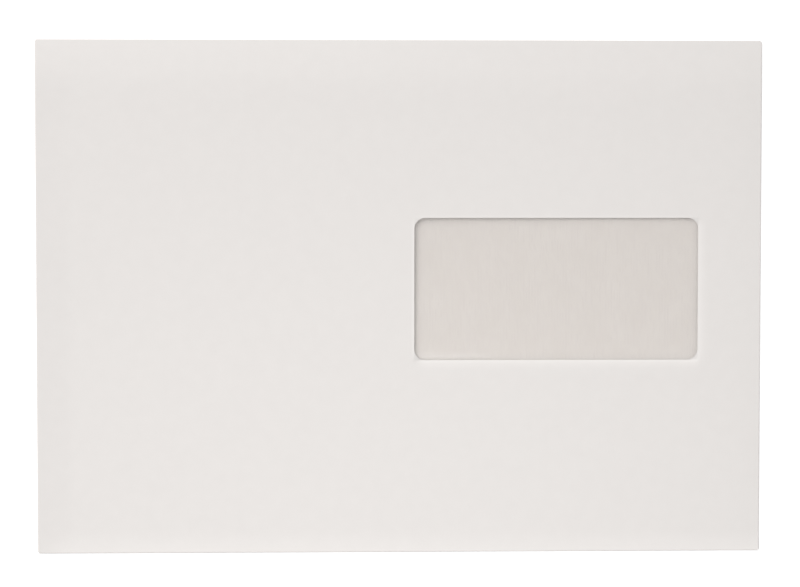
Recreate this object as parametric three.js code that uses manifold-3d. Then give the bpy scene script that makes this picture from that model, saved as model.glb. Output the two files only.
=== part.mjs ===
// Window envelope, C5 size: one folded paper blank with a die-cut address window, the clear film
// glued behind that window, two glued side seams, and a dry gum line on the seal flap.
// Millimetres. The envelope lies face up with its seal flap folded shut underneath. X runs along
// its length, +Y points at the seal flap's fold, and its back rests on Z = 0 around the origin.

import * as THREE from "three";
import { mergeVertices } from "three/addons/utils/BufferGeometryUtils.js";
import Module from "manifold-3d";

const wasm = await Module();
wasm.setup();

// The envelope as folded
const LENGTH = 229;
const HEIGHT = 162;
const PAPER = 0.11;
const CREASE_RADIUS = 0.08; // inside of the tightest fold, where four layers meet
const CONTACT_GAP = 0.005; // between a glue line and the faces it holds

// The slack front panel, which rises from its folded edges to a flat middle
const POCKET_RISE = 0.8;
const EDGE_ROLL = 12; // width of the rising zone inside each fold

// Address window, placed from the right and bottom folds
const WINDOW_WIDTH = 90;
const WINDOW_HEIGHT = 45;
const WINDOW_RIGHT = 20;
const WINDOW_BOTTOM = 61;
const WINDOW_CORNER = 3.5;

// Clear film behind the window, and the glue frame that holds it to the front panel
const FILM = 0.04;
const FILM_OVERLAP = 8; // how far the film runs past the window, all round
const FILM_GLUE = 0.02;
const FILM_GLUE_INSET = 2; // from the window's edge to the glue
const FILM_GLUE_WIDTH = 4;

// Side flaps, folded in behind the front panel
const SIDE_FLAP_WIDTH = 18;
const SIDE_FLAP_END_NOTCH = 1; // relief at each end of the fold
const SIDE_FLAP_END_TAPER = 6; // how much each end slants back by the inner edge

// Back panel, folded up from the bottom and glued to the side flaps
const BACK_HEIGHT = 150;
const BACK_INSET = 1; // from the side fold to the back panel's edge, at the bottom
const BACK_TAPER = 2; // how much further in that edge is at the top
const BACK_CORNER = 5;
const SEAM_GLUE = 0.04;
const SEAM_FOLD_MARGIN = 4; // from the side fold to the glue
const SEAM_EDGE_MARGIN = 3; // from the glue to the side flap's inner edge
const SEAM_END_MARGIN = 8; // from the back panel's ends to the glue

// Seal flap, folded down behind the back panel
const SEAL_DEPTH = 42;
const SEAL_INSET = 1;
const SEAL_TAPER = 14; // how much narrower each side is at the tip
const SEAL_CORNER = 12;
const GUM = 0.02;
const GUM_WIDTH = 10;
const GUM_TIP_MARGIN = 3;
const GUM_SIDE_MARGIN = 5;
const LAP_LENGTH = 5; // over which the back panel climbs from the rest plane onto the flap
const LAP_CLEARANCE = 0.5; // from the end of that climb to the flap's tip

// How finely curves are divided
const FOLD_STEPS = 4; // even, so that one falls on the fold's outermost line
const ROLL_STEPS = 6;
const LAP_STEPS = 5;
const CORNER_STEPS = 5;

const halfLength = LENGTH / 2;
const halfHeight = HEIGHT / 2;

// The stack of layers at a side seam, upwards from the back panel's underside
const lapLift = PAPER + GUM + 2 * CONTACT_GAP;
const seamHeight = PAPER + SEAM_GLUE + 2 * CONTACT_GAP;
const frontEdge = lapLift + seamHeight + PAPER + 2 * CREASE_RADIUS;
const frontMiddle = frontEdge + PAPER / 2;

// Each fold reaches this far past the front panel, to the middle of the paper
const foldReach = frontEdge / 2;
const panelX = halfLength - PAPER / 2 - foldReach;
const panelY = halfHeight - PAPER / 2 - foldReach;
const edgeSlope = (3 * POCKET_RISE) / EDGE_ROLL;

const sealTip = halfHeight - SEAL_DEPTH;
const lapEnd = sealTip - LAP_CLEARANCE;
const lapStart = lapEnd - LAP_LENGTH;
const backTop = BACK_HEIGHT - halfHeight;

const windowArea = {
  left: halfLength - WINDOW_RIGHT - WINDOW_WIDTH,
  right: halfLength - WINDOW_RIGHT,
  bottom: WINDOW_BOTTOM - halfHeight,
  top: WINDOW_BOTTOM + WINDOW_HEIGHT - halfHeight,
};
const filmArea = grown(windowArea, FILM_OVERLAP);
const glueArea = grown(windowArea, FILM_GLUE_INSET + FILM_GLUE_WIDTH);
const glueOpening = grown(windowArea, FILM_GLUE_INSET);

function grown(area, by) {
  return {
    left: area.left - by,
    right: area.right + by,
    bottom: area.bottom - by,
    top: area.top + by,
  };
}

function mix(from, to, share) {
  return from + (to - from) * share;
}

// From 0 to 1 in even steps, without the 0
function steps(count) {
  return Array.from({ length: count }, (_, index) => (index + 1) / count);
}

// Sorted places for grid lines, with those that fall together taken once
function gridLines(places) {
  const sorted = [...places].sort((a, b) => a - b);
  return sorted.filter((place, index) => index === 0 || place - sorted[index - 1] > 0.01);
}

function linesWithin(lines, from, to) {
  return lines.filter((line) => line > from - 0.02 && line < to + 0.02);
}

// How the front panel rises with its distance from a fold, as a share of the full rise
function rise(distance) {
  const left = 1 - THREE.MathUtils.clamp(distance / EDGE_ROLL, 0, 1);
  return 1 - left ** 3;
}

function riseSlope(distance) {
  const left = 1 - THREE.MathUtils.clamp(distance / EDGE_ROLL, 0, 1);
  return edgeSlope * left ** 2;
}

// The middle of the front panel's paper, and the direction of its outer face
function frontPanel(x, y) {
  const fromSide = panelX - Math.abs(x);
  const fromEnd = panelY - Math.abs(y);
  const out = new THREE.Vector3(
    Math.sign(x) * riseSlope(fromSide) * rise(fromEnd),
    Math.sign(y) * riseSlope(fromEnd) * rise(fromSide),
    1,
  );
  const z = frontMiddle + POCKET_RISE * rise(fromSide) * rise(fromEnd);
  return { at: new THREE.Vector3(x, y, z), out: out.normalize() };
}

// A fold takes the paper from the front panel's edge round to a layer below. turn runs from 0 at
// the panel to 1 at the layer, and slope is how steeply the panel falls at its edge.
function fold(turn, slope, layer) {
  const start = Math.atan(slope);
  const angle = turn < 0.5 ? mix(start, Math.PI / 2, 2 * turn) : Math.PI * turn;
  const radius = (frontMiddle - layer) / (1 + Math.cos(start));
  return {
    past: (foldReach * (Math.sin(angle) - Math.sin(start))) / (1 - Math.sin(start)),
    z: layer + radius * (1 + Math.cos(angle)),
    sideways: Math.sin(angle),
    up: Math.cos(angle),
  };
}

// Underside of the back panel, which steps up where it lies on the seal flap
function backUnderside(y) {
  return lapLift * THREE.MathUtils.smoothstep(y, lapStart, lapEnd);
}

// How far a rounded corner draws an outline in, at a distance from the end that it rounds off
function cornerInset(radius, fromEnd) {
  const into = Math.max(0, radius - fromEnd);
  return radius - Math.sqrt(Math.max(0, radius ** 2 - into ** 2));
}

// Grid lines through a rounded corner, closer together towards the end
function cornerLines(start, end) {
  return [0, ...steps(CORNER_STEPS)].map((share) => mix(start, end, Math.sin((share * Math.PI) / 2)));
}

function backHalfWidth(y) {
  const taper = (BACK_TAPER * (y + halfHeight)) / BACK_HEIGHT;
  return halfLength - BACK_INSET - taper - cornerInset(BACK_CORNER, backTop - y);
}

function sealHalfWidth(y) {
  const taper = (SEAL_TAPER * (halfHeight - y)) / SEAL_DEPTH;
  return halfLength - SEAL_INSET - taper - cornerInset(SEAL_CORNER, y - sealTip);
}

// The ends of a side flap are drawn in, and its rows over the back panel's step stay where they are
function flapEnd(y, inset) {
  const keep = Math.max(Math.abs(lapStart), Math.abs(lapEnd)) + 1;
  const over = Math.abs(y) - keep;
  return over <= 0 ? y : Math.sign(y) * (keep + over * (1 - inset / (panelY - keep)));
}

function sideFlap(column, y) {
  const side = column.part === "left" ? -1 : 1;
  const inset = SIDE_FLAP_END_NOTCH * column.turn + (column.flat ? SIDE_FLAP_END_TAPER : 0);
  const flapY = flapEnd(y, inset);
  const layer = backUnderside(flapY) + seamHeight + PAPER / 2;
  const bend = fold(column.turn, edgeSlope * rise(panelY - Math.abs(y)), layer);
  const x = column.flat ? column.place : side * (panelX + bend.past);
  return {
    at: new THREE.Vector3(x, flapY, bend.z),
    out: new THREE.Vector3(side * bend.sideways, 0, bend.up),
  };
}

function backPanel(x, row) {
  const bend = fold(row.turn, edgeSlope * rise(panelX - Math.abs(x)), PAPER / 2);
  const y = row.flat ? row.place : -panelY - bend.past;
  const width = mix(1, backHalfWidth(y) / panelX, row.turn);
  const lift = row.flat ? backUnderside(y) : 0;
  return {
    at: new THREE.Vector3(x * width, y, bend.z + lift),
    out: new THREE.Vector3(0, -bend.sideways, bend.up),
  };
}

function sealFlap(x, row) {
  const bend = fold(row.turn, edgeSlope * rise(panelX - Math.abs(x)), PAPER / 2);
  const y = row.flat ? row.place : panelY + bend.past;
  const width = mix(1, sealHalfWidth(y) / panelX, row.turn);
  return {
    at: new THREE.Vector3(x * width, y, bend.z),
    out: new THREE.Vector3(0, bend.sideways, bend.up),
  };
}

// Where a crossing of the blank's grid goes when folded. The blank is a cross, so the crossings
// outside both the front panel's rows and its columns have no paper.
function blankPlace(column, row) {
  if (column.part === "front" && row.part === "front") return frontPanel(column.place, row.place);
  if (row.part === "front") return sideFlap(column, row.place);
  if (column.part !== "front") return null;
  return row.part === "back" ? backPanel(column.place, row) : sealFlap(column.place, row);
}

// A closed sheet over a grid: both faces, and a wall wherever a cell has no neighbour. faces gives
// the outer and inner point at a crossing, or null where there is no material.
function sheetSolid(columns, rows, faces) {
  const points = [];
  const numbers = columns.map((column) =>
    rows.map((row) => {
      const pair = faces(column, row);
      if (!pair) return null;
      points.push(pair.outer, pair.inner);
      return points.length - 2;
    }),
  );
  const number = (i, j) => numbers[i]?.[j] ?? null;
  const cell = (i, j) => {
    const corners = [number(i, j), number(i + 1, j), number(i + 1, j + 1), number(i, j + 1)];
    return corners.includes(null) ? null : corners;
  };
  const index = [];
  const quad = (a, b, c, d) => index.push(a, b, c, a, c, d);
  for (let i = 0; i < columns.length - 1; i++) {
    for (let j = 0; j < rows.length - 1; j++) {
      const corners = cell(i, j);
      if (!corners) continue;
      const [a, b, c, d] = corners;
      quad(a, b, c, d);
      index.push(a + 1, c + 1, b + 1, a + 1, d + 1, c + 1);
      if (!cell(i, j - 1)) quad(a, a + 1, b + 1, b);
      if (!cell(i + 1, j)) quad(b, b + 1, c + 1, c);
      if (!cell(i, j + 1)) quad(c, c + 1, d + 1, d);
      if (!cell(i - 1, j)) quad(d, d + 1, a + 1, a);
    }
  }
  const geometry = new THREE.BufferGeometry().setFromPoints(points);
  geometry.setIndex(index);
  return geometry;
}

// The two faces of a layer of the given thickness, sunk by depth below the front panel's inside
function behindFront(x, y, depth, thickness) {
  const { at, out } = frontPanel(x, y);
  return {
    outer: at.clone().addScaledVector(out, -PAPER / 2 - depth),
    inner: at.clone().addScaledVector(out, -PAPER / 2 - depth - thickness),
  };
}

function roundedRectangle(area, radius) {
  const { left, right, bottom, top } = area;
  const shape = new THREE.Shape();
  shape.absarc(right - radius, top - radius, radius, 0, Math.PI / 2);
  shape.absarc(left + radius, top - radius, radius, Math.PI / 2, Math.PI);
  shape.absarc(left + radius, bottom + radius, radius, Math.PI, 1.5 * Math.PI);
  shape.absarc(right - radius, bottom + radius, radius, 1.5 * Math.PI, 2 * Math.PI);
  shape.closePath();
  return shape;
}

function toManifold(geometry) {
  return new wasm.Manifold(
    new wasm.Mesh({
      numProp: 3,
      vertProperties: new Float32Array(geometry.attributes.position.array),
      triVerts: new Uint32Array(geometry.index.array),
    }),
  );
}

function toGeometry(solid) {
  const { vertProperties, triVerts } = solid.getMesh();
  const geometry = new THREE.BufferGeometry();
  geometry.setAttribute("position", new THREE.BufferAttribute(vertProperties, 3));
  geometry.setIndex(new THREE.BufferAttribute(triVerts, 1));
  return geometry;
}

// Cuts an outline out of whatever lies at the front panel's level, and nothing below it
function cutFromFront(geometry, shape) {
  const base = frontEdge - CREASE_RADIUS;
  const depth = POCKET_RISE + PAPER + 2 * CREASE_RADIUS;
  let cutter = new THREE.ExtrudeGeometry(shape, {
    depth,
    bevelEnabled: false,
    curveSegments: CORNER_STEPS,
  });
  cutter.translate(0, 0, base);
  cutter.deleteAttribute("normal");
  cutter.deleteAttribute("uv");
  cutter = mergeVertices(cutter);
  return toGeometry(toManifold(geometry).subtract(toManifold(cutter)));
}

// Grid lines across the front panel: close together where it rolls over to its folds, and one on
// every edge of the film and its glue, so that those sheets lie parallel to it
function frontLines(half, edges) {
  const roll = steps(ROLL_STEPS).map((share) => half - EDGE_ROLL * (1 - share));
  const start = half - EDGE_ROLL;
  return gridLines([-start, start, ...roll, ...roll.map((place) => -place), ...edges]);
}

const frontColumns = frontLines(panelX, [
  filmArea.left,
  filmArea.right,
  glueArea.left,
  glueArea.right,
]);
const lapRows = [0, ...steps(LAP_STEPS)].map((share) => mix(lapStart, lapEnd, share));
const frontRows = frontLines(panelY, [
  filmArea.bottom,
  filmArea.top,
  glueArea.bottom,
  glueArea.top,
  ...lapRows,
]);

function onPart(part, places) {
  return places.map((place) => ({ part, place, turn: 1, flat: true }));
}

function roundFold(part) {
  return steps(FOLD_STEPS).map((turn) => ({ part, turn, flat: false }));
}

function foldedBlank() {
  const backRows = gridLines([
    ...lapRows.filter((y) => y < backTop - BACK_CORNER),
    ...cornerLines(backTop - BACK_CORNER, backTop),
  ]);
  const sealRows = cornerLines(sealTip + SEAL_CORNER, sealTip);
  const columns = [
    ...onPart("left", [SIDE_FLAP_WIDTH - halfLength]),
    ...roundFold("left").reverse(),
    ...onPart("front", frontColumns),
    ...roundFold("right"),
    ...onPart("right", [halfLength - SIDE_FLAP_WIDTH]),
  ];
  const rows = [
    ...onPart("back", backRows).reverse(),
    ...roundFold("back").reverse(),
    ...onPart("front", frontRows),
    ...roundFold("seal"),
    ...onPart("seal", sealRows),
  ];
  const blank = sheetSolid(columns, rows, (column, row) => {
    const place = blankPlace(column, row);
    if (!place) return null;
    return {
      outer: place.at.clone().addScaledVector(place.out, PAPER / 2),
      inner: place.at.clone().addScaledVector(place.out, -PAPER / 2),
    };
  });
  return cutFromFront(blank, roundedRectangle(windowArea, WINDOW_CORNER));
}

// A layer behind the front panel, over an area whose edges are on the panel's own grid lines
function layerBehindFront(area, depth, thickness) {
  const columns = linesWithin(frontColumns, area.left, area.right);
  const rows = linesWithin(frontRows, area.bottom, area.top);
  return sheetSolid(columns, rows, (x, y) => behindFront(x, y, depth, thickness));
}

function windowFilm() {
  return layerBehindFront(filmArea, FILM_GLUE + 2 * CONTACT_GAP, FILM);
}

function windowFilmGlue() {
  const slab = layerBehindFront(glueArea, CONTACT_GAP, FILM_GLUE);
  return cutFromFront(slab, roundedRectangle(glueOpening, WINDOW_CORNER + FILM_GLUE_INSET));
}

function seamGlue(side) {
  const outer = side * (halfLength - SEAM_FOLD_MARGIN);
  const inner = side * (halfLength - SIDE_FLAP_WIDTH + SEAM_EDGE_MARGIN);
  const bottom = SEAM_END_MARGIN - halfHeight;
  const top = backTop - SEAM_END_MARGIN;
  const rows = gridLines([bottom, ...linesWithin(lapRows, bottom, top), top]);
  return sheetSolid(gridLines([outer, inner]), rows, (x, y) => {
    const z = backUnderside(y) + PAPER + CONTACT_GAP;
    return { outer: new THREE.Vector3(x, y, z + SEAM_GLUE), inner: new THREE.Vector3(x, y, z) };
  });
}

function sealFlapGum() {
  const bottom = sealTip + GUM_TIP_MARGIN;
  const rows = [0, ...steps(CORNER_STEPS)].map((share) => bottom + GUM_WIDTH * share);
  return sheetSolid([-1, 1], rows, (side, y) => {
    const x = side * (sealHalfWidth(y) - GUM_SIDE_MARGIN);
    const z = PAPER + CONTACT_GAP;
    return { outer: new THREE.Vector3(x, y, z + GUM), inner: new THREE.Vector3(x, y, z) };
  });
}

const wovePaper = { color: 0xeae6e3, roughness: 0.88, metalness: 0 };
const clearFilm = { color: 0xf2f4f4, roughness: 0.12, metalness: 0, transparent: true, opacity: 0.3 };
const driedGlue = { color: 0xe4ddcb, roughness: 0.45, metalness: 0 };
const driedGum = { color: 0xe2dac2, roughness: 0.35, metalness: 0 };

function piece(name, geometry, look) {
  geometry.computeVertexNormals();
  const mesh = new THREE.Mesh(geometry, new THREE.MeshStandardMaterial(look));
  mesh.name = name;
  return mesh;
}

const envelope = new THREE.Group();
envelope.add(
  piece("folded_blank", foldedBlank(), wovePaper),
  piece("window_film", windowFilm(), clearFilm),
  piece("window_film_glue", windowFilmGlue(), driedGlue),
  piece("left_seam_glue", seamGlue(-1), driedGlue),
  piece("right_seam_glue", seamGlue(1), driedGlue),
  piece("seal_flap_gum", sealFlapGum(), driedGum),
);

export default envelope;
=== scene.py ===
import math

import bpy
from mathutils import Euler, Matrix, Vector


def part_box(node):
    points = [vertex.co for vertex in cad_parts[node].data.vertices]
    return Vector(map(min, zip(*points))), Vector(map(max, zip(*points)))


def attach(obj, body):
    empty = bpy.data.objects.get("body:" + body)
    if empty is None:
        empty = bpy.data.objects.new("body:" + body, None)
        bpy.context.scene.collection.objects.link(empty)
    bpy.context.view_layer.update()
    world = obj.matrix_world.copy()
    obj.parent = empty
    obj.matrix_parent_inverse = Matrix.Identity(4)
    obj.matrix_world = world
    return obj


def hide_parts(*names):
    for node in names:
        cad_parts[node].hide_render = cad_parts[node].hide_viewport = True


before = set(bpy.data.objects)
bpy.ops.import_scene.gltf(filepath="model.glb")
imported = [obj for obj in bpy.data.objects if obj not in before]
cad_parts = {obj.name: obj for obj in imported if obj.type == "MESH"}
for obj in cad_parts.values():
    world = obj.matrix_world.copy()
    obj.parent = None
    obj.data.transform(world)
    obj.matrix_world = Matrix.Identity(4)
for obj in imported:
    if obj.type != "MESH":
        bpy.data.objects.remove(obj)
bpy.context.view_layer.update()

MM = 0.001

# Sizes of the folded envelope, taken from the frame
BLANK_HIGH = Vector(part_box("folded_blank")[1])
FILM_LOW, FILM_HIGH = (Vector(corner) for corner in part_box("window_film"))
GLUE_LOW, GLUE_HIGH = (Vector(corner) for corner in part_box("window_film_glue"))
SEAM_HIGH = Vector(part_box("right_seam_glue")[1])
GUM_HIGH = Vector(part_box("seal_flap_gum")[1])
HALF_LENGTH = BLANK_HIGH.x
HALF_HEIGHT = BLANK_HIGH.y

# What a paper converter would write on the drawing
PAPER = 0.11 * MM
CREASE_RADIUS = 0.08 * MM
FILM_OVERLAP = 8 * MM
WINDOW_CORNER = 3.5 * MM
GLUE_WIDTH = 4 * MM
SIDE_FLAP = 18 * MM
SIDE_FLAP_NOTCH = 1 * MM
SIDE_FLAP_TAPER = 6 * MM
BACK_HEIGHT = 150 * MM
BACK_INSET = 1 * MM
BACK_TAPER = 2 * MM
BACK_CORNER = 5 * MM
SEAL_DEPTH = 42 * MM
SEAL_INSET = 1 * MM
SEAL_TAPER = 14 * MM
SEAL_CORNER = 12 * MM
LAP_LENGTH = 5 * MM
LAP_CLEARANCE = 0.5 * MM
LAP_MARGIN = 1 * MM  # round the lap, kept free of other rows and of the flaps' drawn-in ends
GLUE_CLEARANCE = 0.005 * MM
PAINTED_HIGHLIGHT_LEVEL = 66 * MM  # above the envelope's middle, from where the outside is painted whiter as a painted highlight
PAINTED_HIGHLIGHT_FADE = 6 * MM

# Levels of the layers, from the glue lines that lie between them
LAP_LIFT = GUM_HIGH.z + GLUE_CLEARANCE
SEAM_HEIGHT = SEAM_HIGH.z - LAP_LIFT + GLUE_CLEARANCE
EDGE_LEVEL = LAP_LIFT + SEAM_HEIGHT + PAPER + 2 * CREASE_RADIUS
EDGE_MIDDLE = EDGE_LEVEL + PAPER / 2
RISE = BLANK_HIGH.z - EDGE_LEVEL - PAPER
FOLD_REACH = EDGE_LEVEL / 2
PANEL_X = HALF_LENGTH - PAPER / 2 - FOLD_REACH
PANEL_Y = HALF_HEIGHT - PAPER / 2 - FOLD_REACH
SEAL_TIP = HALF_HEIGHT - SEAL_DEPTH
LAP_END = SEAL_TIP - LAP_CLEARANCE
LAP_START = LAP_END - LAP_LENGTH
BACK_TOP = BACK_HEIGHT - HALF_HEIGHT

WINDOW_LOW = FILM_LOW + Vector((FILM_OVERLAP, FILM_OVERLAP, 0))
WINDOW_HIGH = FILM_HIGH - Vector((FILM_OVERLAP, FILM_OVERLAP, 0))
BETWEEN_PANELS = EDGE_LEVEL - 0.1 * MM  # a level over the back panel and under the front one

# How the slack paper lies in the photograph, as heights over its lowest possible place
PLAIN_HEIGHT = 0.37 * MM  # the plain middle of the front
SWELL = 0.22 * MM  # the upper left of the front stands this much higher
SWELL_ACROSS = (60 * MM, -40 * MM)
SWELL_ALONG = (-20 * MM, 50 * MM)
TOP_EDGE = (0.02 * MM, 12 * MM, 1.5)  # height at the fold, width of the slope, its roundness
BOTTOM_EDGE = (0.75 * MM, 6 * MM, 1.9)
LEFT_EDGE = (0.78 * MM, 10 * MM, 1.1)
RIGHT_EDGE = (0.28 * MM, 10 * MM, 2.0)
RIGHT_LIP = 0.2 * MM  # the film pulls the window's right and bottom lips down by this much
BOTTOM_LIP = 0.38 * MM
LIP_WIDTH = 4 * MM
LIP_SHARPNESS = 3.0
LIP_FADE = (-3 * MM, 1 * MM)  # where a lip's change fades out, along it past the window's corner
BURR = 0.09 * MM  # the die leaves the left and top lips slightly turned up
BURR_WIDTH = 1.0 * MM
BOTTOM_CURL = 0.08 * MM  # the very edge of the bottom lip curls down
BACK_BULGE = 0.22 * MM  # the back panel stands up behind all but the window's upper left corner
BULGE_REACH = (0.9, 1.4)  # where it starts to fall and ends, in window sizes from the lower right
COCKLE = 0.12 * MM
COCKLE_SIZE = 42 * MM
CALM_WIDTH = 20 * MM  # from each fold, over which the cockle grows
BACK_RIPPLE = 0.12 * MM
BACK_RIPPLE_SIZE = 24 * MM
FLAP_RAMP = 3 * MM  # over which the back panel comes free of the side flaps
END_RAMP = 6 * MM  # and of its fold and lap
SEED = 7
EDGES = {"Top": TOP_EDGE, "Bottom": BOTTOM_EDGE, "Left": LEFT_EDGE, "Right": RIGHT_EDGE}

# Grid lines of the paper: their spacing on each panel, and within a distance of folds and lips
SPACING = {"front": 2.6 * MM, "side": 4 * MM, "back": 4 * MM, "lap": 6 * MM, "seal": 5 * MM}
FOLD_ZONES = ((12 * MM, 0.9 * MM), (1.2 * MM, 0.25 * MM))
LIP_ZONES = ((4.5 * MM, 0.6 * MM), (1.1 * MM, 0.2 * MM))
FOLD_COUNT = 12
FOLD_SQUARENESS = 0.5  # 1 is round, less is a tighter crease
LAP_COUNT = 5
CORNER_COUNT = 10
PUNCH_CORNER_COUNT = 12
PUNCH_TOP = 3 * MM  # clear above the envelope
SHARP_ANGLE = math.radians(40)

# Place, aim, size in metres and power in watts of each lamp, and the light of the white room
LAMPS = {
    "window_side_softbox": ((-2.253, 2.028, 1.75), (0, 0, 0), 2.5, 117),
    "table_lamp": ((0, -0.15, 0.4), (0, -0.045, 0), 0.12, 0.42),
}
ROOM_LIGHT = 0.35
TABLE_SIZE = 3.0
TABLE_LEVEL = -0.05 * MM
TABLE_LIFT = 0.6

# Camera, fitted to the envelope's four corners in the photograph
CAMERA_DISTANCE = 0.7
CAMERA_TILT = (-2.40, -1.73, 0.003)
CAMERA_AIM = (0.01 * MM, 1.08 * MM, 0)
CAMERA_LENS = 99.57
CAMERA_NEAR = 10 * MM
SENSOR_WIDTH = 36


def add(tree, kind, links=None, out=0, **settings):
    # Adds a node with its settings, fills its inputs with values or links, and gives one output,
    # or all of them where out is None
    made = tree.nodes.new(kind)
    for name, value in settings.items():
        setattr(made, name, value)
    for socket, value in (links or {}).items():
        if isinstance(value, bpy.types.NodeSocket):
            tree.links.new(value, made.inputs[socket])
        else:
            made.inputs[socket].default_value = value
    return made.outputs if out is None or not made.outputs else made.outputs[out]


def hex_colour(text):
    # An sRGB hex value as the linear colour that shaders take
    channels = [int(text[i : i + 2], 16) / 255 for i in (1, 3, 5)]
    linear = [c / 12.92 if c <= 0.04045 else ((c + 0.055) / 1.055) ** 2.4 for c in channels]
    return (*linear, 1)


def new_material(name):
    # A material with an empty node tree
    material = bpy.data.materials.new(name)
    material.use_nodes = True
    material.node_tree.nodes.clear()
    return material, material.node_tree


# Materials


# The fine tooth of uncoated paper and its relief. Single fibres are too fine to show, so the tooth
# is drawn at 0.4 mm.
def paper_tooth(tree, place):
    tooth = add(tree, "ShaderNodeTexNoise", {"Vector": place, "Scale": 1 / (0.4 * MM), "Detail": 2})
    relief = add(tree, "ShaderNodeBump", {"Strength": 0.5, "Distance": 0.012 * MM, "Height": tooth})
    return tooth, relief


# White uncoated wove paper, 90 g/m2, made on a wire and smoothed between rolls. Its fibres lie in
# clouds a few millimetres across, which mottle it by half a percent, and they leave a fine tooth
# that makes it matt. Printed tint on the inside greys it a little. Along the top the outside is
# painted a trace whiter, a painted highlight for the strip that catches more of the light.
def uncoated_wove_paper():
    material, tree = new_material("uncoated_wove_paper")
    place = add(tree, "ShaderNodeTexCoord", out=3)
    clouds = add(tree, "ShaderNodeTexNoise", {"Vector": place, "Scale": 1 / (4 * MM), "Detail": 3})
    tooth, relief = paper_tooth(tree, place)
    mottle = add(tree, "ShaderNodeMix", {0: 0.3, 2: clouds, 3: tooth}, data_type="FLOAT")
    spread = add(tree, "ShaderNodeMapRange", {"Value": mottle, "From Min": 0.3, "From Max": 0.7})
    # painted highlight: the outside is painted a trace whiter towards its top strip
    painted_highlight = add(
        tree,
        "ShaderNodeMapRange",
        {
            "Value": add(tree, "ShaderNodeSeparateXYZ", {0: place}, out=1),
            "From Min": PAINTED_HIGHLIGHT_LEVEL - PAINTED_HIGHLIGHT_FADE,
            "From Max": PAINTED_HIGHLIGHT_LEVEL + PAINTED_HIGHLIGHT_FADE,
            "To Max": 0.9,
        },
        interpolation_type="SMOOTHSTEP",
    )
    spread = add(tree, "ShaderNodeMath", {0: spread, 1: painted_highlight}, operation="ADD")
    colour = add(
        tree,
        "ShaderNodeMix",
        {0: spread, 6: hex_colour("#E9E5E2"), 7: hex_colour("#EBE7E4")},
        out=2,
        data_type="RGBA",
        clamp_factor=False,
    )
    surface = add(
        tree,
        "ShaderNodeBsdfPrincipled",
        {"Base Color": colour, "Roughness": 0.88, "IOR": 1.47, "Normal": relief},
    )
    add(tree, "ShaderNodeOutputMaterial", {"Surface": surface})
    return material


# The inside of the same sheet, printed all over with a security tint in thin ink. Up close it is
# rows of short, slightly wavy strokes 0.9 mm apart, and from a reading distance it only turns the
# white paper to a warm light grey.
def tint_printed_paper():
    material, tree = new_material("tint_printed_paper")
    place = add(tree, "ShaderNodeTexCoord", out=3)
    clouds = add(tree, "ShaderNodeTexNoise", {"Vector": place, "Scale": 1 / (8 * MM), "Detail": 2})
    lines = add(
        tree,
        "ShaderNodeTexWave",
        {
            "Vector": place,
            "Scale": 2 * math.pi / (20 * 0.9 * MM),
            "Distortion": 1.6,
            "Detail": 2,
            "Detail Scale": 1.3,
        },
        bands_direction="X",
    )
    drawn = add(tree, "ShaderNodeVectorMath", {0: place, 1: (1.0, 0.35, 1.0)}, operation="MULTIPLY")
    breaks = add(
        tree, "ShaderNodeTexNoise", {"Vector": drawn, "Scale": 1 / (1.1 * MM), "Detail": 1}
    )
    breaks = add(tree, "ShaderNodeMapRange", {"Value": breaks, "From Min": 0.42, "From Max": 0.58})
    strokes = add(tree, "ShaderNodeMath", {0: lines, 1: breaks}, operation="MULTIPLY")
    ground = add(
        tree,
        "ShaderNodeMix",
        {0: clouds, 6: hex_colour("#ECE5DF"), 7: hex_colour("#F2ECE7")},
        out=2,
        data_type="RGBA",
    )
    colour = add(
        tree,
        "ShaderNodeMix",
        {0: strokes, 6: ground, 7: hex_colour("#ECE5E0")},
        out=2,
        data_type="RGBA",
    )
    relief = paper_tooth(tree, place)[1]
    surface = add(
        tree,
        "ShaderNodeBsdfPrincipled",
        {"Base Color": colour, "Roughness": 0.85, "IOR": 1.47, "Normal": relief},
    )
    add(tree, "ShaderNodeOutputMaterial", {"Surface": surface})
    return material


# Clear polystyrene film, cast and stretched to 0.04 mm. It lets the tint show through under a thin
# white veil, its real gloss plus a painted reflection of a white room in its white base colour;
# both grow towards grazing angles, and it is never quite flat, so they waver.
def clear_polystyrene_film():
    material, tree = new_material("clear_polystyrene_film")
    place = add(tree, "ShaderNodeTexCoord", out=3)
    waves = add(tree, "ShaderNodeTexNoise", {"Vector": place, "Scale": 1 / (17 * MM), "Detail": 2})
    slack = add(tree, "ShaderNodeBump", {"Strength": 0.6, "Distance": 0.4 * MM, "Height": waves})
    facing = add(tree, "ShaderNodeLayerWeight", {"Blend": 0.35}, out=1)
    # the film's share over the tint, real gloss and painted white reflection together, grows
    # towards grazing angles
    gleam_and_painted_reflection = add(tree, "ShaderNodeMapRange", {"Value": facing, "To Min": 0.05, "To Max": 0.75})
    surface = add(
        tree,
        "ShaderNodeBsdfPrincipled",
        {
            # painted reflection: the white base colour stands in for the white room mirrored in the
            # film
            "Base Color": hex_colour("#F4F5F5"),
            "Roughness": 0.12,
            "IOR": 1.59,
            "Alpha": gleam_and_painted_reflection,
            "Normal": slack,
        },
    )
    add(tree, "ShaderNodeOutputMaterial", {"Surface": surface})
    return material


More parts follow.
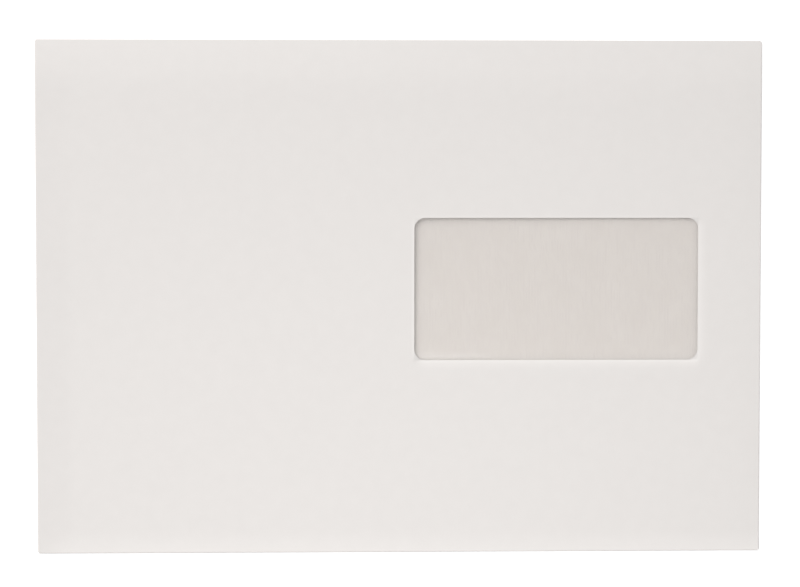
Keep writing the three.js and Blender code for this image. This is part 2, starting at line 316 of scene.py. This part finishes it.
# Seam glue, rolled on wet and dried to a slightly yellow, half-clear skin that streaks along the
# seam and shines a little.
def dried_seam_glue():
    material, tree = new_material("dried_seam_glue")
    place = add(tree, "ShaderNodeTexCoord", out=3)
    drawn = add(tree, "ShaderNodeVectorMath", {0: place, 1: (1.0, 0.3, 1.0)}, operation="MULTIPLY")
    streaks = add(
        tree, "ShaderNodeTexNoise", {"Vector": drawn, "Scale": 1 / (1.5 * MM), "Detail": 3}
    )
    colour = add(
        tree,
        "ShaderNodeMix",
        {0: streaks, 6: hex_colour("#DAD2BD"), 7: hex_colour("#EBE5D6")},
        out=2,
        data_type="RGBA",
    )
    skin = add(tree, "ShaderNodeBump", {"Strength": 0.4, "Distance": 0.01 * MM, "Height": streaks})
    surface = add(
        tree,
        "ShaderNodeBsdfPrincipled",
        {"Base Color": colour, "Roughness": 0.45, "IOR": 1.47, "Normal": skin},
    )
    add(tree, "ShaderNodeOutputMaterial", {"Surface": surface})
    return material


# Dextrin gum, laid wet along the seal flap and dried. It is warm in tone with a soft gloss, and it
# has dried into fine cracked plates about a millimetre across.
def remoistenable_gum():
    material, tree = new_material("remoistenable_gum")
    place = add(tree, "ShaderNodeTexCoord", out=3)
    plates = add(
        tree,
        "ShaderNodeTexVoronoi",
        {"Vector": place, "Scale": 1 / (1.1 * MM)},
        feature="DISTANCE_TO_EDGE",
    )
    colour = add(
        tree,
        "ShaderNodeMix",
        {0: plates, 6: hex_colour("#D2C7A6"), 7: hex_colour("#E2DAC2")},
        out=2,
        data_type="RGBA",
    )
    skin = add(tree, "ShaderNodeBump", {"Strength": 0.4, "Distance": 0.01 * MM, "Height": plates})
    surface = add(
        tree,
        "ShaderNodeBsdfPrincipled",
        {"Base Color": colour, "Roughness": 0.3, "IOR": 1.47, "Normal": skin},
    )
    add(tree, "ShaderNodeOutputMaterial", {"Surface": surface})
    return material


WOVE = uncoated_wove_paper()
TINT = tint_printed_paper()
FILM = clear_polystyrene_film()
GLUE = dried_seam_glue()
GUM = remoistenable_gum()


# The rule by which the slack front lies, shared by the paper, the film and the glue between them


def slack_front_tree():
    tree = bpy.data.node_groups.new("slack_front", "GeometryNodeTree")
    interface = tree.interface
    interface.new_socket("Geometry", in_out="INPUT", socket_type="NodeSocketGeometry")
    lengths = {"Panel X": PANEL_X, "Panel Y": PANEL_Y, "Plain Height": PLAIN_HEIGHT, "Swell": SWELL}
    for side, numbers in EDGES.items():
        for kind, value in zip(("Height", "Width", "Roundness"), numbers):
            lengths[f"{side} {kind}"] = value
    lengths.update(
        {
            "Right Lip": RIGHT_LIP,
            "Bottom Lip": BOTTOM_LIP,
            "Lip Width": LIP_WIDTH,
            "Burr": BURR,
            "Burr Width": BURR_WIDTH,
            "Bottom Curl": BOTTOM_CURL,
            "Back Bulge": BACK_BULGE,
            "Bulge Start": BULGE_REACH[0],
            "Bulge End": BULGE_REACH[1],
            "Cockle": COCKLE,
            "Cockle Size": COCKLE_SIZE,
            "Calm Width": CALM_WIDTH,
            "Back Ripple": BACK_RIPPLE,
            "Back Ripple Size": BACK_RIPPLE_SIZE,
        }
    )
    for name, value in lengths.items():
        socket = interface.new_socket(name, in_out="INPUT", socket_type="NodeSocketFloat")
        socket.default_value = value
    socket = interface.new_socket("Seed", in_out="INPUT", socket_type="NodeSocketInt")
    socket.default_value = SEED
    interface.new_socket("Material", in_out="INPUT", socket_type="NodeSocketMaterial")
    interface.new_socket("Geometry", in_out="OUTPUT", socket_type="NodeSocketGeometry")
    given = add(tree, "NodeGroupInput", out=None)

    place = add(tree, "GeometryNodeInputPosition")
    x = add(tree, "ShaderNodeSeparateXYZ", {0: place}, out=0)
    y = add(tree, "ShaderNodeSeparateXYZ", {0: place}, out=1)
    slack = add(tree, "GeometryNodeInputNamedAttribute", {"Name": "slack"}, data_type="FLOAT")
    loose = add(tree, "GeometryNodeInputNamedAttribute", {"Name": "loose_back"}, data_type="FLOAT")

    # The front panel swells at its upper left, and slopes up or down to each of its folds
    swell, calm = given["Swell"], None
    for across, (start, end) in ((x, SWELL_ACROSS), (y, SWELL_ALONG)):
        share = add(
            tree,
            "ShaderNodeMapRange",
            {"Value": across, "From Min": start, "From Max": end},
            interpolation_type="SMOOTHSTEP",
        )
        swell = add(tree, "ShaderNodeMath", {0: swell, 1: share}, operation="MULTIPLY")
    height = add(tree, "ShaderNodeMath", {0: given["Plain Height"], 1: swell}, operation="ADD")
    for side, across, half, way in (
        ("Left", x, "Panel X", 1.0),
        ("Right", x, "Panel X", -1.0),
        ("Bottom", y, "Panel Y", 1.0),
        ("Top", y, "Panel Y", -1.0),
    ):
        inside = add(tree, "ShaderNodeMath", {0: across, 1: way}, operation="MULTIPLY")
        inside = add(tree, "ShaderNodeMath", {0: inside, 1: given[half]}, operation="ADD")
        near = add(
            tree,
            "ShaderNodeMapRange",
            {"Value": inside, "From Max": given[f"{side} Width"], "To Min": 1.0, "To Max": 0.0},
            clamp=False,
        )
        near = add(tree, "ShaderNodeMath", {0: near, 1: 0.0}, operation="MAXIMUM")
        roundness = given[f"{side} Roundness"]
        slope = add(tree, "ShaderNodeMath", {0: near, 1: roundness}, operation="POWER")
        height = add(
            tree,
            "ShaderNodeMix",
            {0: slope, 2: height, 3: given[f"{side} Height"]},
            data_type="FLOAT",
            clamp_factor=False,
        )
        away = add(tree, "ShaderNodeMapRange", {"Value": inside, "From Max": given["Calm Width"]})
        calm = add(tree, "ShaderNodeMath", {0: away, 1: calm or 1.0}, operation="MULTIPLY")

    # The window's right and bottom lips dip towards the film, the other two are turned up
    middle = (WINDOW_LOW + WINDOW_HIGH) / 2
    half = (WINDOW_HIGH - WINDOW_LOW) / 2
    lips = (
        (x, WINDOW_HIGH.x, y, middle.y, half.y, "Lip Width", "Right Lip", "SUBTRACT"),
        (y, WINDOW_LOW.y, x, middle.x, half.x, "Lip Width", "Bottom Lip", "SUBTRACT"),
        (y, WINDOW_LOW.y, x, middle.x, half.x, "Burr Width", "Bottom Curl", "SUBTRACT"),
        (x, WINDOW_LOW.x, y, middle.y, half.y, "Burr Width", "Burr", "ADD"),
        (y, WINDOW_HIGH.y, x, middle.x, half.x, "Burr Width", "Burr", "ADD"),
    )
    for across, lip, along, centre, reach, width, depth, way in lips:
        away = add(tree, "ShaderNodeMath", {0: across, 1: lip}, operation="SUBTRACT")
        away = add(tree, "ShaderNodeMath", {0: away}, operation="ABSOLUTE")
        close = add(
            tree,
            "ShaderNodeMapRange",
            {"Value": away, "From Max": given[width], "To Min": 1.0, "To Max": 0.0},
        )
        close = add(tree, "ShaderNodeMath", {0: close, 1: LIP_SHARPNESS}, operation="POWER")
        beside = add(tree, "ShaderNodeMath", {0: along, 1: centre}, operation="SUBTRACT")
        beside = add(tree, "ShaderNodeMath", {0: beside}, operation="ABSOLUTE")
        beside = add(tree, "ShaderNodeMath", {0: beside, 1: reach}, operation="SUBTRACT")
        level = add(
            tree,
            "ShaderNodeMapRange",
            {
                "Value": beside,
                "From Min": LIP_FADE[0],
                "From Max": LIP_FADE[1],
                "To Min": 1.0,
                "To Max": 0.0,
            },
            interpolation_type="SMOOTHSTEP",
        )
        change = add(tree, "ShaderNodeMath", {0: close, 1: level}, operation="MULTIPLY")
        change = add(tree, "ShaderNodeMath", {0: change, 1: given[depth]}, operation="MULTIPLY")
        height = add(tree, "ShaderNodeMath", {0: height, 1: change}, operation=way)

    # The whole panel is cockled, and the back panel ripples and stands up behind the window
    offset = add(tree, "ShaderNodeCombineXYZ", {0: given["Seed"]})
    shifted = add(tree, "ShaderNodeVectorMath", {0: place, 1: offset}, operation="ADD")
    waves = []
    for size in (given["Cockle Size"], given["Back Ripple Size"]):
        scale = add(tree, "ShaderNodeMath", {0: 1.0, 1: size}, operation="DIVIDE")
        noise = {"Vector": shifted, "Scale": scale, "Detail": 1.0}
        waves.append(add(tree, "ShaderNodeTexNoise", noise))
    cockle = add(tree, "ShaderNodeMath", {0: waves[0], 1: 0.5}, operation="SUBTRACT")
    cockle = add(tree, "ShaderNodeMath", {0: cockle, 1: given["Cockle"]}, operation="MULTIPLY")
    cockle = add(tree, "ShaderNodeMath", {0: cockle, 1: calm}, operation="MULTIPLY")
    height = add(tree, "ShaderNodeMath", {0: height, 1: cockle}, operation="ADD")
    height = add(tree, "ShaderNodeMath", {0: height, 1: slack}, operation="MULTIPLY")
    depth = given["Back Ripple"]
    ripple = add(tree, "ShaderNodeMath", {0: waves[1], 1: depth}, operation="MULTIPLY")
    unit = (0.5 / half.x, 0.5 / half.y, 0)
    scaled = add(tree, "ShaderNodeVectorMath", {0: place, 1: unit}, operation="MULTIPLY")
    corner = (WINDOW_HIGH.x * unit[0], WINDOW_LOW.y * unit[1], 0)
    far = add(tree, "ShaderNodeVectorMath", {0: scaled, 1: corner}, out=1, operation="DISTANCE")
    bulge = add(
        tree,
        "ShaderNodeMapRange",
        {
            "Value": far,
            "From Min": given["Bulge Start"],
            "From Max": given["Bulge End"],
            "To Min": given["Back Bulge"],
            "To Max": 0.0,
        },
        interpolation_type="SMOOTHSTEP",
    )
    ripple = add(tree, "ShaderNodeMath", {0: ripple, 1: bulge}, operation="ADD")
    ripple = add(tree, "ShaderNodeMath", {0: ripple, 1: loose}, operation="MULTIPLY")
    height = add(tree, "ShaderNodeMath", {0: height, 1: ripple}, operation="ADD")

    lift = add(tree, "ShaderNodeCombineXYZ", {2: height})
    moved = add(tree, "GeometryNodeSetPosition", {"Geometry": given["Geometry"], "Offset": lift})
    real = add(tree, "GeometryNodeRealizeInstances", {"Geometry": moved})
    finish = {"Geometry": real, "Material": given["Material"]}
    dressed = add(tree, "GeometryNodeSetMaterial", finish)
    add(tree, "NodeGroupOutput", {0: dressed})
    return tree


SLACK_FRONT = slack_front_tree()


# Works the piece's modifiers into a plain mesh
def work_in_modifiers(piece):
    bpy.context.view_layer.update()
    evaluated = piece.evaluated_get(bpy.context.evaluated_depsgraph_get())
    mesh = bpy.data.meshes.new_from_object(evaluated)
    piece.modifiers.clear()
    piece.data = mesh


def lay_slack(piece, material):
    modifier = piece.modifiers.new("slack_front", "NODES")
    modifier.node_group = SLACK_FRONT
    socket = SLACK_FRONT.interface.items_tree["Material"].identifier
    modifier[socket] = material


def thicken(piece, thickness, offset, inner_slot=0):
    modifier = piece.modifiers.new("thickness", "SOLIDIFY")
    modifier.thickness = thickness
    modifier.offset = offset
    modifier.material_offset = inner_slot


# A punch with the window's rounded corners, as the die that takes it out, from a level upwards
def cutter_prism(name, low, high, bottom):
    radius = WINDOW_CORNER
    corners = (
        (high.x - radius, high.y - radius, 0),
        (low.x + radius, high.y - radius, 90),
        (low.x + radius, low.y + radius, 180),
        (high.x - radius, low.y + radius, 270),
    )
    outline = []
    for x, y, start in corners:
        for step in range(PUNCH_CORNER_COUNT + 1):
            angle = math.radians(start + 90 * step / PUNCH_CORNER_COUNT)
            outline.append((x + radius * math.cos(angle), y + radius * math.sin(angle)))
    count = len(outline)
    points = [(x, y, bottom) for x, y in outline] + [(x, y, PUNCH_TOP) for x, y in outline]
    faces = [list(range(count))[::-1], list(range(count, 2 * count))]
    for i in range(count):
        after = (i + 1) % count
        faces.append([i, after, after + count, i + count])
    mesh = bpy.data.meshes.new(name)
    mesh.from_pydata(points, [], faces)
    punch = bpy.data.objects.new(name, mesh)
    bpy.context.collection.objects.link(punch)
    return punch


def punch_out(piece, punch):
    modifier = piece.modifiers.new("punch", "BOOLEAN")
    modifier.operation = "DIFFERENCE"
    modifier.solver = "EXACT"
    modifier.object = punch


# The folded blank, laid out as a cross-shaped grid and folded crossing by crossing


# Lines from start to end, closer together within each fine zone (centre, reach, spacing)
def grid_lines(start, end, spacing, fine=()):
    lines = [start]
    while lines[-1] < end:
        here = lines[-1]
        steps = [size for centre, reach, size in fine if abs(here - centre) < reach]
        lines.append(here + min(steps + [spacing]))
    stretch = (end - start) / (lines[-1] - start)
    return [start + (line - start) * stretch for line in lines]


def zones_at(places, zones):
    return [(place, *zone) for place in places for zone in zones]


def corner_lines(start, end):
    turns = [math.pi / 2 * i / CORNER_COUNT for i in range(CORNER_COUNT + 1)]
    return [start + (end - start) * math.sin(turn) for turn in turns]


def corner_inset(radius, from_end):
    into = max(0.0, radius - from_end)
    return radius - math.sqrt(max(0.0, radius**2 - into**2))


def smooth_step(value, start, end):
    share = min(max((value - start) / (end - start), 0), 1)
    return share * share * (3 - 2 * share)


def mix(start, end, share):
    return start + (end - start) * share


def back_underside(y):
    return LAP_LIFT * smooth_step(y, LAP_START, LAP_END)


def back_half_width(y):
    taper = BACK_TAPER * (y + HALF_HEIGHT) / BACK_HEIGHT
    return HALF_LENGTH - BACK_INSET - taper - corner_inset(BACK_CORNER, BACK_TOP - y)


def seal_half_width(y):
    taper = SEAL_TAPER * (HALF_HEIGHT - y) / SEAL_DEPTH
    return HALF_LENGTH - SEAL_INSET - taper - corner_inset(SEAL_CORNER, y - SEAL_TIP)


# How far a fold reaches past the panel, and how high it is, turn of the way round
def fold(turn, layer):
    angle = math.pi * turn
    out = abs(math.sin(angle)) ** FOLD_SQUARENESS
    up = math.copysign(abs(math.cos(angle)) ** FOLD_SQUARENESS, math.cos(angle))
    return FOLD_REACH * out, layer + (EDGE_MIDDLE - layer) / 2 * (1 + up)


def flap_end(y, inset):
    keep = max(abs(LAP_START), abs(LAP_END)) + LAP_MARGIN
    over = abs(y) - keep
    return y if over <= 0 else math.copysign(keep + over * (1 - inset / (PANEL_Y - keep)), y)


def side_flap(column, y):
    part, place, turn = column
    flat = place is not None
    inner = HALF_LENGTH - SIDE_FLAP
    inward = (PANEL_X - abs(place)) / (PANEL_X - inner) if flat else 0
    y = flap_end(y, SIDE_FLAP_NOTCH * turn + SIDE_FLAP_TAPER * inward)
    past, z = fold(turn, back_underside(y) + SEAM_HEIGHT + PAPER / 2)
    side = -1 if part == "left" else 1
    return (place if flat else side * (PANEL_X + past), y, z)


def end_flap(x, row, half_width, underside):
    part, place, turn = row
    past, z = fold(turn, PAPER / 2)
    side = -1 if part == "back" else 1
    y = side * (PANEL_Y + past) if place is None else place
    width = mix(1, half_width(y) / PANEL_X, turn)
    return (x * width, y, z + (underside(y) if place is not None else 0))


# Where a crossing of the blank's grid lies when folded, or None off the cross
def blank_point(column, row):
    if column[0] == "front" and row[0] == "front":
        return (column[1], row[1], EDGE_MIDDLE)
    if row[0] == "front":
        return side_flap(column, row[1])
    if column[0] != "front":
        return None
    if row[0] == "back":
        return end_flap(column[1], row, back_half_width, back_underside)
    return end_flap(column[1], row, seal_half_width, lambda y: 0)


# How fully a crossing follows the slack of the front panel: it fades out round the folds
def slack_share(column, row):
    turn = max(column[2], row[2])
    return (1 + math.cos(math.pi * turn)) / 2


# How free the back panel is to ripple: not under the side flaps or at its fold and lap
def loose_share(column, row):
    if row[0] != "back" or row[1] is None:
        return 0
    x = abs(column[1]) * back_half_width(row[1]) / PANEL_X
    from_flap = HALF_LENGTH - SIDE_FLAP - x
    from_ends = min(row[1] + HALF_HEIGHT, LAP_START - row[1])
    return min(smooth_step(from_flap, 0, FLAP_RAMP), smooth_step(from_ends, 0, END_RAMP))


def folded_paper():
    fine_x = zones_at((-PANEL_X, PANEL_X), FOLD_ZONES)
    fine_x += zones_at((WINDOW_LOW.x, WINDOW_HIGH.x), LIP_ZONES)
    fine_y = zones_at((-PANEL_Y, PANEL_Y), FOLD_ZONES)
    fine_y += zones_at((WINDOW_LOW.y, WINDOW_HIGH.y), LIP_ZONES)
    turns = [(i + 1) / FOLD_COUNT for i in range(FOLD_COUNT)]
    laps = [mix(LAP_START, LAP_END, i / LAP_COUNT) for i in range(LAP_COUNT + 1)]
    front_x = grid_lines(-PANEL_X, PANEL_X, SPACING["front"], fine_x)
    front_y = grid_lines(-PANEL_Y, PANEL_Y, SPACING["front"], fine_y)
    lap_low, lap_high = LAP_START - LAP_MARGIN, LAP_END + LAP_MARGIN
    front_y = sorted([y for y in front_y if not lap_low < y < lap_high] + laps)
    flap_x = grid_lines(HALF_LENGTH - SIDE_FLAP, PANEL_X, SPACING["side"])[:-1]
    back_y = grid_lines(-PANEL_Y, LAP_START, SPACING["back"])[1:-1] + laps
    back_y += grid_lines(LAP_END, BACK_TOP - BACK_CORNER, SPACING["lap"])[1:-1]
    back_y += corner_lines(BACK_TOP - BACK_CORNER, BACK_TOP)
    seal_y = grid_lines(SEAL_TIP + SEAL_CORNER, PANEL_Y, SPACING["seal"])[1:-1][::-1]
    seal_y += corner_lines(SEAL_TIP + SEAL_CORNER, SEAL_TIP)
    columns = [("left", -x, 1) for x in flap_x] + [("left", None, turn) for turn in turns[::-1]]
    columns += [("front", x, 0) for x in front_x]
    columns += [("right", None, turn) for turn in turns] + [("right", x, 1) for x in flap_x[::-1]]
    rows = [("back", y, 1) for y in back_y[::-1]] + [("back", None, turn) for turn in turns[::-1]]
    rows += [("front", y, 0) for y in front_y]
    rows += [("seal", None, turn) for turn in turns] + [("seal", y, 1) for y in seal_y]

    points, number, slack, loose = [], {}, [], []
    for i, column in enumerate(columns):
        for j, row in enumerate(rows):
            point = blank_point(column, row)
            if point:
                number[i, j] = len(points)
                points.append(point)
                slack.append(slack_share(column, row))
                loose.append(loose_share(column, row))
    faces = []
    for i, j in number:
        corners = [number.get(key) for key in ((i, j), (i + 1, j), (i + 1, j + 1), (i, j + 1))]
        if None not in corners:
            faces.append(corners)
    return sheet_object("paper_blank", points, faces, slack, loose)


def sheet_object(name, points, faces, slack, loose):
    mesh = bpy.data.meshes.new(name)
    mesh.from_pydata(points, [], faces)
    for attribute, values in (("slack", slack), ("loose_back", loose)):
        mesh.attributes.new(attribute, "FLOAT", "POINT").data.foreach_set("value", values)
    piece = bpy.data.objects.new(name, mesh)
    bpy.context.collection.objects.link(piece)
    return piece


# A flat sheet behind the front panel, with lines as close as the panel has near the window
def flat_layer(name, low, high, level):
    fine_x = zones_at((WINDOW_LOW.x, WINDOW_HIGH.x), LIP_ZONES)
    fine_y = zones_at((WINDOW_LOW.y, WINDOW_HIGH.y), LIP_ZONES)
    across = grid_lines(low.x, high.x, SPACING["front"], fine_x)
    along = grid_lines(low.y, high.y, SPACING["front"], fine_y)
    points = [(x, y, level) for x in across for y in along]
    rows = len(along)
    faces = []
    for i in range(len(across) - 1):
        for j in range(rows - 1):
            here, beside = i * rows + j, (i + 1) * rows + j
            faces.append([here, beside, beside + 1, here + 1])
    return sheet_object(name, points, faces, [1] * len(points), [0] * len(points))


# Smooth surfaces, with the cut edges left sharp
def shade_softly(piece):
    piece.data.shade_smooth()
    piece.data.set_sharp_from_angle(angle=SHARP_ANGLE)


def make_paper():
    paper = folded_paper()
    paper.data.materials.append(WOVE)
    paper.data.materials.append(TINT)
    lay_slack(paper, WOVE)
    thicken(paper, PAPER, 0, inner_slot=1)
    punch = cutter_prism("window_punch", WINDOW_LOW, WINDOW_HIGH, BETWEEN_PANELS)
    punch_out(paper, punch)
    work_in_modifiers(paper)
    bpy.data.objects.remove(punch)
    shade_softly(paper)
    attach(paper, "root")
    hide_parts("folded_blank")


def make_film():
    top = FILM_HIGH.z - RISE
    film = flat_layer("film_patch", FILM_LOW, FILM_HIGH, top)
    film.data.materials.append(FILM)
    lay_slack(film, FILM)
    thicken(film, FILM_HIGH.z - FILM_LOW.z, -1)
    work_in_modifiers(film)
    shade_softly(film)
    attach(film, "root")
    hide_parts("window_film")


def make_film_glue():
    top = GLUE_HIGH.z - RISE
    glue = flat_layer("film_glue_line", GLUE_LOW, GLUE_HIGH, top)
    glue.data.materials.append(GLUE)
    lay_slack(glue, GLUE)
    thicken(glue, GLUE_HIGH.z - GLUE_LOW.z, -1)
    inset = Vector((GLUE_WIDTH, GLUE_WIDTH, 0))
    punch = cutter_prism("glue_punch", GLUE_LOW + inset, GLUE_HIGH - inset, 0)
    punch_out(glue, punch)
    work_in_modifiers(glue)
    bpy.data.objects.remove(punch)
    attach(glue, "root")
    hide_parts("window_film_glue")


def dress_node(name, material):
    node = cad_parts[name]
    node.data.materials.clear()
    node.data.materials.append(material)


make_paper()
make_film()
make_film_glue()
dress_node("left_seam_glue", GLUE)
dress_node("right_seam_glue", GLUE)
dress_node("seal_flap_gum", GUM)


# Floor, lamps and camera


# One for what is looked at, straight, mirrored or through something clear, and zero for soft light
def looked_at(tree):
    ray = add(tree, "ShaderNodeLightPath", out=None)
    seen = ray["Is Camera Ray"]
    for kind in ("Is Glossy Ray", "Is Transmission Ray"):
        seen = add(tree, "ShaderNodeMath", {0: seen, 1: ray[kind]}, operation="MAXIMUM")
    return seen


# A plain white table, lifted to white where it is looked at, which keeps the envelope's shadow
def studio_floor():
    material, tree = new_material("white_table")
    lift = add(tree, "ShaderNodeMath", {0: looked_at(tree), 1: TABLE_LIFT}, operation="MULTIPLY")
    lit = add(tree, "ShaderNodeBsdfDiffuse", {"Color": hex_colour("#EFEFEF")})
    glow = add(tree, "ShaderNodeEmission", {"Strength": lift})
    both = add(tree, "ShaderNodeAddShader", {0: lit, 1: glow})
    add(tree, "ShaderNodeOutputMaterial", {"Surface": both})
    square = ((-1, -1), (1, -1), (1, 1), (-1, 1))
    corners = [(x * TABLE_SIZE, y * TABLE_SIZE, TABLE_LEVEL) for x, y in square]
    mesh = bpy.data.meshes.new("table")
    mesh.from_pydata(corners, [], [(0, 1, 2, 3)])
    mesh.materials.append(material)
    floor = bpy.data.objects.new("table", mesh)
    bpy.context.collection.objects.link(floor)


def studio_world():
    world = bpy.data.worlds.new("white_room")
    bpy.context.scene.world = world
    world.use_nodes = True
    tree = world.node_tree
    tree.nodes.clear()
    strength = add(
        tree, "ShaderNodeMapRange", {"Value": looked_at(tree), "To Min": ROOM_LIGHT, "To Max": 1.0}
    )
    sky = add(tree, "ShaderNodeBackground", {"Color": (1, 1, 1, 1), "Strength": strength})
    add(tree, "ShaderNodeOutputWorld", {"Surface": sky})


# A square softbox at a place in the room, turned to a place on the table
def softbox(name, place, aim, size, power):
    lamp = bpy.data.lights.new(name, "AREA")
    lamp.shape = "SQUARE"
    lamp.size = size
    lamp.energy = power
    holder = bpy.data.objects.new(name, lamp)
    bpy.context.collection.objects.link(holder)
    holder.location = place
    holder.rotation_euler = (Vector(place) - Vector(aim)).to_track_quat("Z", "Y").to_euler()
    holder.visible_camera = False


def overhead_camera():
    lens = bpy.data.cameras.new("overhead_camera")
    lens.sensor_width = SENSOR_WIDTH
    lens.lens = CAMERA_LENS
    lens.clip_start = CAMERA_NEAR
    camera = bpy.data.objects.new("overhead_camera", lens)
    bpy.context.collection.objects.link(camera)
    turn = Euler([math.radians(angle) for angle in CAMERA_TILT], "XYZ")
    camera.rotation_euler = turn
    camera.location = Vector(CAMERA_AIM) + turn.to_matrix() @ Vector((0, 0, CAMERA_DISTANCE))
    bpy.context.scene.camera = camera


studio_floor()
studio_world()
for name, (place, aim, size, power) in LAMPS.items():
    softbox(name, place, aim, size, power)
overhead_camera()
bpy.context.scene.view_settings.view_transform = "Standard"
